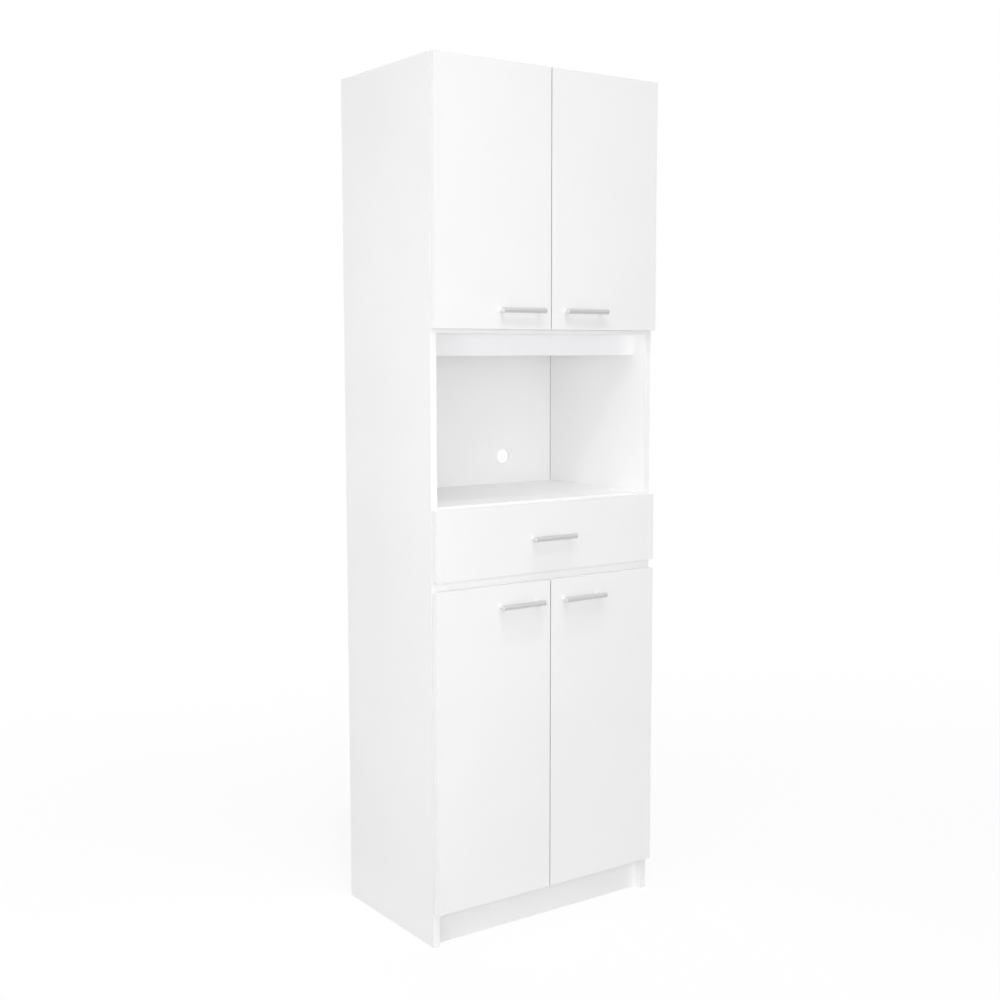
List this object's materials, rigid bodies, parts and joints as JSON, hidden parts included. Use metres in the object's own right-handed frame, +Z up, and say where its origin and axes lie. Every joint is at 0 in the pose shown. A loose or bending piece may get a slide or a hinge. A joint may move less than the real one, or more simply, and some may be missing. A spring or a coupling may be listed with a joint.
{
  "type": "microwave cabinet",
  "caption": "Tall freestanding kitchen cabinet: hinged cupboards above and below an open appliance niche and a drawer, on a recessed plinth.",
  "frame": {"origin": "on the floor, midway across the width and midway between the back edge of the sides and the front of the handles", "axes": "+Z up, the doors and the drawer face -Y, +X to the right of someone facing the doors"},
  "size_m": [0.6, 0.406, 1.88],
  "materials": {
    "white_melamine": "white melamine-faced chipboard with edge banding, satin",
    "white_front": "white melamine-faced chipboard front, smooth satin",
    "white_hardboard": "white-lacquered hardboard, matt",
    "handle_metal": "satin silver",
    "plated_steel": "nickel-plated steel",
    "dowel_beech": "raw beech",
    "runner_enamel": "white powder-coated steel",
    "roller_nylon": "white nylon"
  },
  "bodies": {
    "carcass": {"left_side_panel": "white_melamine", "right_side_panel": "white_melamine", "top_panel": "white_melamine", "upper_cupboard_base": "white_melamine", "niche_fascia": "white_melamine", "niche_floor": "white_melamine", "front_rail": "white_melamine", "base_panel": "white_melamine", "plinth": "white_melamine", "upper_back_panel": "white_hardboard", "lower_back_panel": "white_hardboard", "upper_shelf": "white_melamine", "lower_shelf": "white_melamine", "shelf_pins": "plated_steel", "cam_locks": "plated_steel", "cam_bolts": "plated_steel", "wood_dowels": "dowel_beech", "fixing_screws": "plated_steel", "hinge_plates": "plated_steel", "hinge_arms": "plated_steel", "left_cabinet_runner": "runner_enamel", "right_cabinet_runner": "runner_enamel", "wall_brackets": "plated_steel"},
    "upper_left_door": {"upper_left_door": "white_front", "upper_left_hinge_cups": "plated_steel", "upper_left_handle_bar": "handle_metal", "upper_left_handle_posts": "handle_metal", "upper_left_handle_screws": "plated_steel"},
    "upper_left_links": {"upper_left_hinge_links": "plated_steel"},
    "upper_right_door": {"upper_right_door": "white_front", "upper_right_hinge_cups": "plated_steel", "upper_right_handle_bar": "handle_metal", "upper_right_handle_posts": "handle_metal", "upper_right_handle_screws": "plated_steel"},
    "upper_right_links": {"upper_right_hinge_links": "plated_steel"},
    "lower_left_door": {"lower_left_door": "white_front", "lower_left_hinge_cups": "plated_steel", "lower_left_handle_bar": "handle_metal", "lower_left_handle_posts": "handle_metal", "lower_left_handle_screws": "plated_steel"},
    "lower_left_links": {"lower_left_hinge_links": "plated_steel"},
    "lower_right_door": {"lower_right_door": "white_front", "lower_right_hinge_cups": "plated_steel", "lower_right_handle_bar": "handle_metal", "lower_right_handle_posts": "handle_metal", "lower_right_handle_screws": "plated_steel"},
    "lower_right_links": {"lower_right_hinge_links": "plated_steel"},
    "drawer": {"drawer_front": "white_front", "drawer_left_side": "white_melamine", "drawer_right_side": "white_melamine", "drawer_back": "white_melamine", "drawer_bottom": "white_hardboard", "drawer_dowels": "dowel_beech", "left_drawer_runner": "runner_enamel", "right_drawer_runner": "runner_enamel", "drawer_handle_bar": "handle_metal", "drawer_handle_posts": "handle_metal", "drawer_handle_screws": "plated_steel"},
    "cabinet_rollers": {"cabinet_rollers": "roller_nylon"},
    "drawer_rollers": {"drawer_rollers": "roller_nylon"}
  },
  "joints": [
    {"name": "upper_left_door_hinge", "type": "hinge", "parent": "carcass", "child": "upper_left_door", "pos_m": [-0.296, -0.174, 1.6025], "axis": [0, 0, -1], "range_deg": [0, 110]},
    {"name": "upper_left_link_turn", "type": "hinge", "parent": "upper_left_door", "child": "upper_left_links", "pos_m": [-0.2885, -0.168, 1.6025], "axis": [0, 0, -1], "range_deg": [-105, 0]},
    {"name": "upper_right_door_hinge", "type": "hinge", "parent": "carcass", "child": "upper_right_door", "pos_m": [0.296, -0.174, 1.6025], "axis": [0, 0, 1], "range_deg": [0, 110]},
    {"name": "upper_right_link_turn", "type": "hinge", "parent": "upper_right_door", "child": "upper_right_links", "pos_m": [0.2885, -0.168, 1.6025], "axis": [0, 0, 1], "range_deg": [-105, 0]},
    {"name": "lower_left_door_hinge", "type": "hinge", "parent": "carcass", "child": "lower_left_door", "pos_m": [-0.296, -0.174, 0.4265], "axis": [0, 0, -1], "range_deg": [0, 110]},
    {"name": "lower_left_link_turn", "type": "hinge", "parent": "lower_left_door", "child": "lower_left_links", "pos_m": [-0.2885, -0.168, 0.4265], "axis": [0, 0, -1], "range_deg": [-105, 0]},
    {"name": "lower_right_door_hinge", "type": "hinge", "parent": "carcass", "child": "lower_right_door", "pos_m": [0.296, -0.174, 0.4265], "axis": [0, 0, 1], "range_deg": [0, 110]},
    {"name": "lower_right_link_turn", "type": "hinge", "parent": "lower_right_door", "child": "lower_right_links", "pos_m": [0.2885, -0.168, 0.4265], "axis": [0, 0, 1], "range_deg": [-105, 0]},
    {"name": "drawer_slide", "type": "slide", "parent": "carcass", "child": "drawer", "axis": [0, -1, 0], "range_m": [0, 0.23]},
    {"name": "cabinet_roller_turn", "type": "hinge", "parent": "carcass", "child": "cabinet_rollers", "pos_m": [0, -0.132, 0.8125], "axis": [1, 0, 0], "continuous": true},
    {"name": "drawer_roller_turn", "type": "hinge", "parent": "drawer", "child": "drawer_rollers", "pos_m": [0, 0.123, 0.8085], "axis": [1, 0, 0], "continuous": true}
  ],
  "couplings": [
    {"joint": "upper_left_link_turn", "follows": "upper_left_door_hinge", "ratio": -0.95},
    {"joint": "upper_right_link_turn", "follows": "upper_right_door_hinge", "ratio": -0.95},
    {"joint": "lower_left_link_turn", "follows": "lower_left_door_hinge", "ratio": -0.95},
    {"joint": "lower_right_link_turn", "follows": "lower_right_door_hinge", "ratio": -0.95},
    {"joint": "cabinet_roller_turn", "follows": "drawer_slide", "rad_per_m": 100},
    {"joint": "drawer_roller_turn", "follows": "drawer_slide", "rad_per_m": 100}
  ]
}
